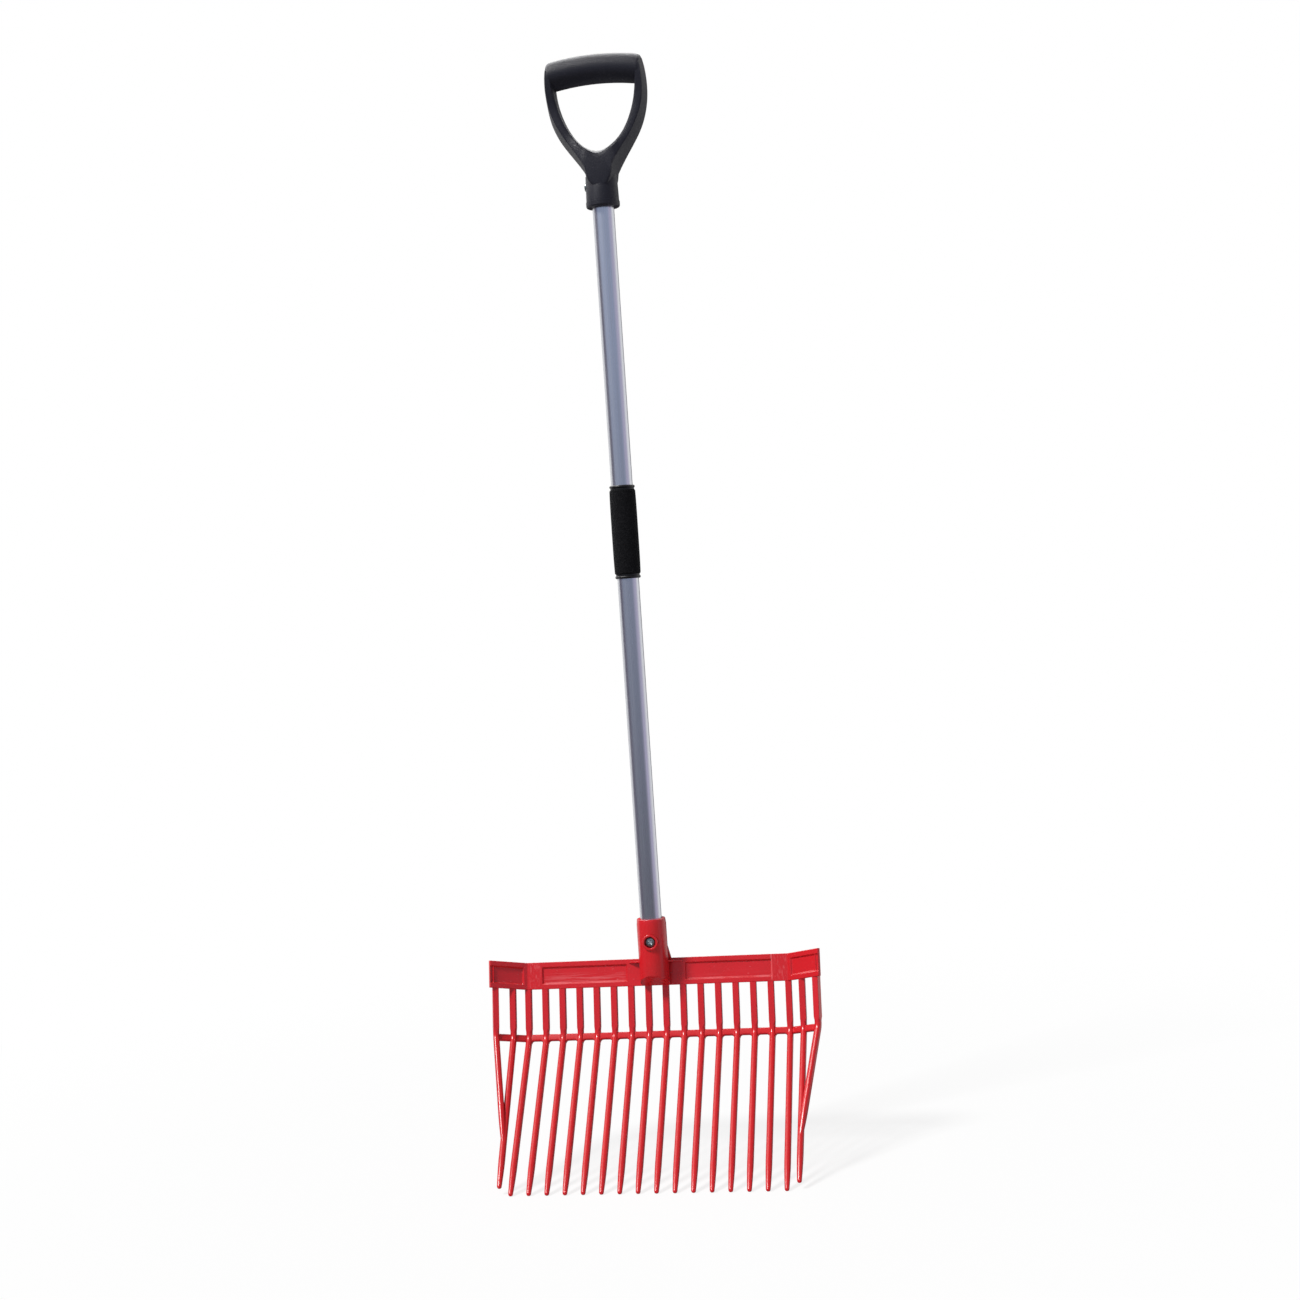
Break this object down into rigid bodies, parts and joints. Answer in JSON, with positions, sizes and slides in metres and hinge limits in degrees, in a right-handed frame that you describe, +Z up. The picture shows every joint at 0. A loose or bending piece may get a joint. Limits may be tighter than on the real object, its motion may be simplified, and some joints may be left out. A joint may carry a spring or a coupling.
{
  "type": "manure fork",
  "caption": "Long-handled manure fork: a moulded head of bent tines with folded wings, on a tube with a foam grip and a D-handle.",
  "frame": {"origin": "middle of the hand bar's underside, where the fork hangs on a peg", "axes": "+Z up along the tube towards the hand bar, -Y towards the hollow side of the tines, +X across the head"},
  "size_m": [0.3906, 0.1661, 1.2816],
  "materials": {
    "head_plastic": "glossy moulded",
    "tube_aluminium": "drawn, satin",
    "handle_plastic": "fine moulded grain",
    "grip_foam": "matt closed-cell foam",
    "ring_rubber": "smooth rubber",
    "screw_steel": "zinc plated"
  },
  "bodies": {
    "root": {"fork_head": "head_plastic", "shaft_tube": "tube_aluminium", "d_handle": "handle_plastic", "foam_grip": "grip_foam", "grip_ring_upper": "ring_rubber", "grip_ring_lower": "ring_rubber", "head_screw": "screw_steel", "handle_screw": "screw_steel"}
  },
  "joints": []
}
